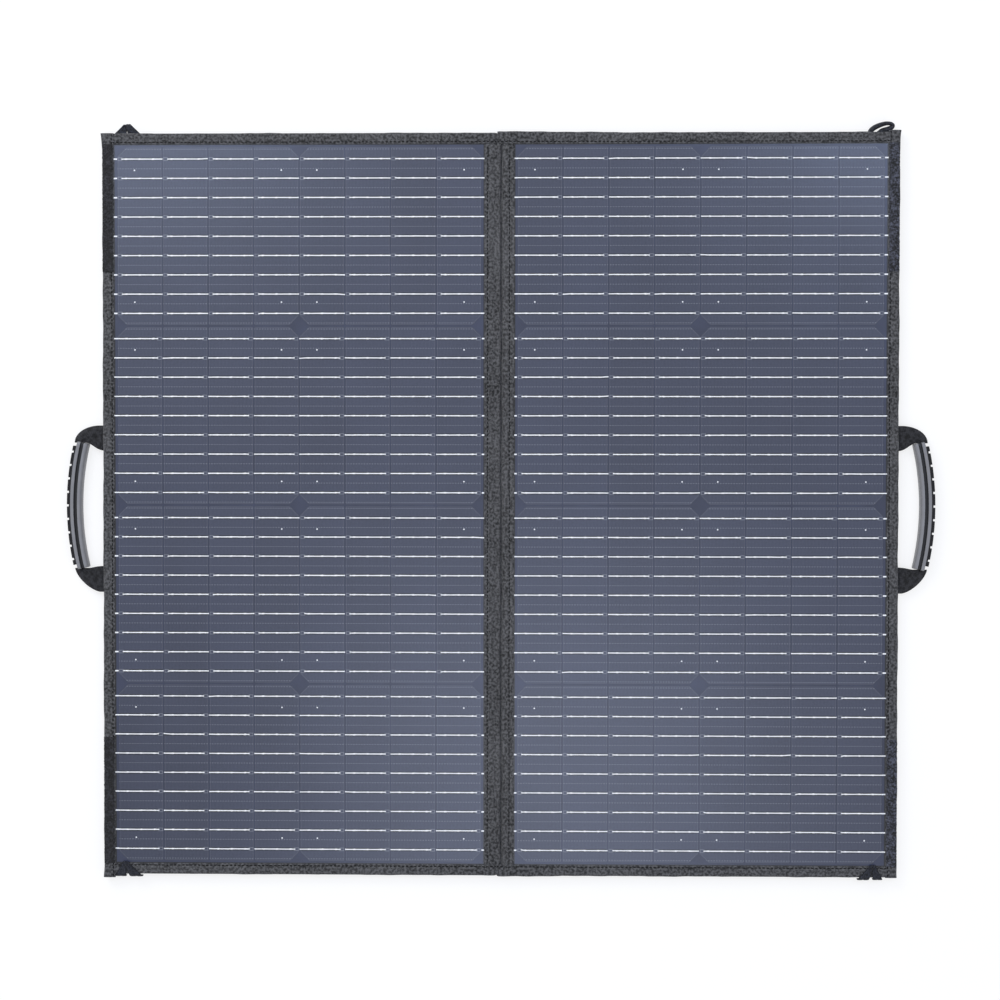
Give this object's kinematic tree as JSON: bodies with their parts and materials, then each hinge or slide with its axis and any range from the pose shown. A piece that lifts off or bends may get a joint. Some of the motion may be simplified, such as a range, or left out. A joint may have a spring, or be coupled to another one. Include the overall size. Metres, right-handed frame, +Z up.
{
  "type": "folding solar suitcase",
  "caption": "Two framed solar panels joined by a fabric spine, folding flat like a suitcase, with carrying handles, corner loops, kickstands and a zipped pocket.",
  "frame": {"origin": "on the ground under the middle of the kit laid open and flat, loops and handles included", "axes": "+X across the two panels, towards the panel with the loop tapes; +Y up the panels, towards the edge whose loops stick out; +Z up, the way the cells face"},
  "size_m": [0.8114, 0.7092, 0.0137],
  "materials": {
    "foam_board": "hollow polypropylene sheet, moulded",
    "polyester_cloth": "woven polyester cloth, coated, matt",
    "backsheet_film": "laminated film, matt",
    "silicon_cell": "monocrystalline silicon, blue black",
    "tinned_ribbon": "tinned copper ribbon, bright",
    "tinned_copper": "tinned copper",
    "front_film": "fluoropolymer film, satin",
    "polyester_ribbon": "woven ribbon, satin",
    "webbing": "woven webbing",
    "grip_plastic": "moulded plastic, satin",
    "ribbed_rubber": "moulded rubber, matt",
    "box_plastic": "moulded plastic, fine texture",
    "zinc_steel": "zinc plated",
    "epoxy": "moulded epoxy",
    "hook_tape": "hook tape, moulded hooks",
    "loop_tape": "loop tape, brushed pile",
    "cable_jacket": "extruded jacket",
    "zip_tape": "woven tape",
    "zip_teeth": "moulded coil",
    "zinc_alloy": "cast, painted black"
  },
  "bodies": {
    "left_panel": {"left_stiffener_board": "foam_board", "left_back_cover": "polyester_cloth", "left_backsheet": "backsheet_film", "left_solar_cells": "silicon_cell", "left_ribbons": "tinned_ribbon", "left_end_busbars": "tinned_ribbon", "left_front_film": "front_film", "left_edge_binding": "polyester_cloth", "left_junction_box_base": "box_plastic", "left_junction_box_lid": "box_plastic", "left_junction_box_screws": "zinc_steel", "left_terminal_blocks": "tinned_copper", "left_bypass_diode": "epoxy", "left_lead_grommet": "ribbed_rubber", "left_kickstand_hinge_tape": "webbing", "left_kickstand_loop_patch": "loop_tape", "left_hook_tapes": "hook_tape", "spine_front_cover": "polyester_cloth", "spine_back_cover": "polyester_cloth", "inter_panel_lead": "cable_jacket", "outlet_gland": "box_plastic", "pocket_panel": "polyester_cloth", "pocket_zip_tape": "zip_tape", "pocket_zip_teeth": "zip_teeth"},
    "right_panel": {"right_stiffener_board": "foam_board", "right_back_cover": "polyester_cloth", "right_backsheet": "backsheet_film", "right_solar_cells": "silicon_cell", "right_ribbons": "tinned_ribbon", "right_end_busbars": "tinned_ribbon", "right_front_film": "front_film", "right_edge_binding": "polyester_cloth", "right_junction_box_base": "box_plastic", "right_junction_box_lid": "box_plastic", "right_junction_box_screws": "zinc_steel", "right_terminal_blocks": "tinned_copper", "right_bypass_diode": "epoxy", "right_lead_grommet": "ribbed_rubber", "right_kickstand_hinge_tape": "webbing", "right_kickstand_loop_patch": "loop_tape", "right_loop_tapes": "loop_tape"},
    "left_top_loop_ribbon": {"left_top_loop": "polyester_ribbon"},
    "left_bottom_loop_ribbon": {"left_bottom_loop": "polyester_ribbon"},
    "left_handle": {"left_handle_webbing": "webbing", "left_handle_grip": "grip_plastic", "left_handle_ribbed_strip": "ribbed_rubber"},
    "left_kickstand": {"left_kickstand_board": "foam_board", "left_kickstand_cover": "polyester_cloth", "left_kickstand_hook_patch": "hook_tape"},
    "right_top_loop_ribbon": {"right_top_loop": "polyester_ribbon"},
    "right_bottom_loop_ribbon": {"right_bottom_loop": "polyester_ribbon"},
    "right_handle": {"right_handle_webbing": "webbing", "right_handle_grip": "grip_plastic", "right_handle_ribbed_strip": "ribbed_rubber"},
    "right_kickstand": {"right_kickstand_board": "foam_board", "right_kickstand_cover": "polyester_cloth", "right_kickstand_hook_patch": "hook_tape"},
    "zip_slider": {"pocket_zip_slider": "zinc_alloy"},
    "zip_pull": {"pocket_zip_pull": "zinc_alloy"}
  },
  "joints": [
    {"name": "panel_fold", "type": "hinge", "parent": "left_panel", "child": "right_panel", "pos_m": [0, -0.00475, 0.014], "axis": [0, -1, 0], "range_deg": [0, 180], "deforming": ["spine_front_cover", "spine_back_cover", "inter_panel_lead"]},
    {"name": "left_handle_swing", "type": "hinge", "parent": "left_panel", "child": "left_handle", "pos_m": [-0.3732, -0.00475, 0.007], "axis": [0, -1, 0], "range_deg": [-85, 85]},
    {"name": "left_top_loop_swing", "type": "hinge", "parent": "left_panel", "child": "left_top_loop_ribbon", "pos_m": [-0.35, 0.34435, 0.00775], "axis": [-1, 0, 0], "range_deg": [-80, 80]},
    {"name": "left_bottom_loop_swing", "type": "hinge", "parent": "left_panel", "child": "left_bottom_loop_ribbon", "pos_m": [-0.35, -0.35385, 0.0129], "axis": [1, 0, 0], "range_deg": [0, 180]},
    {"name": "left_kickstand_swing", "type": "hinge", "parent": "left_panel", "child": "left_kickstand", "pos_m": [-0.192, 0.08325, 0.0039], "axis": [1, 0, 0], "range_deg": [0, 55], "deforming": ["left_kickstand_hinge_tape"]},
    {"name": "right_handle_swing", "type": "hinge", "parent": "right_panel", "child": "right_handle", "pos_m": [0.3732, -0.00475, 0.007], "axis": [0, 1, 0], "range_deg": [-85, 85]},
    {"name": "right_top_loop_swing", "type": "hinge", "parent": "right_panel", "child": "right_top_loop_ribbon", "pos_m": [0.35, 0.34435, 0.00775], "axis": [-1, 0, 0], "range_deg": [-80, 80]},
    {"name": "right_bottom_loop_swing", "type": "hinge", "parent": "right_panel", "child": "right_bottom_loop_ribbon", "pos_m": [0.35, -0.35385, 0.0129], "axis": [1, 0, 0], "range_deg": [0, 180]},
    {"name": "right_kickstand_swing", "type": "hinge", "parent": "right_panel", "child": "right_kickstand", "pos_m": [0.192, 0.08325, 0.0039], "axis": [1, 0, 0], "range_deg": [0, 55], "deforming": ["right_kickstand_hinge_tape"]},
    {"name": "zip_slide", "type": "slide", "parent": "left_panel", "child": "zip_slider", "axis": [1, 0, 0], "range_m": [0, 0.2704]},
    {"name": "zip_pull_swing", "type": "hinge", "parent": "zip_slider", "child": "zip_pull", "pos_m": [-0.3107, 0.29125, 0.0003], "axis": [0, 1, 0], "range_deg": [0, 150]}
  ]
}
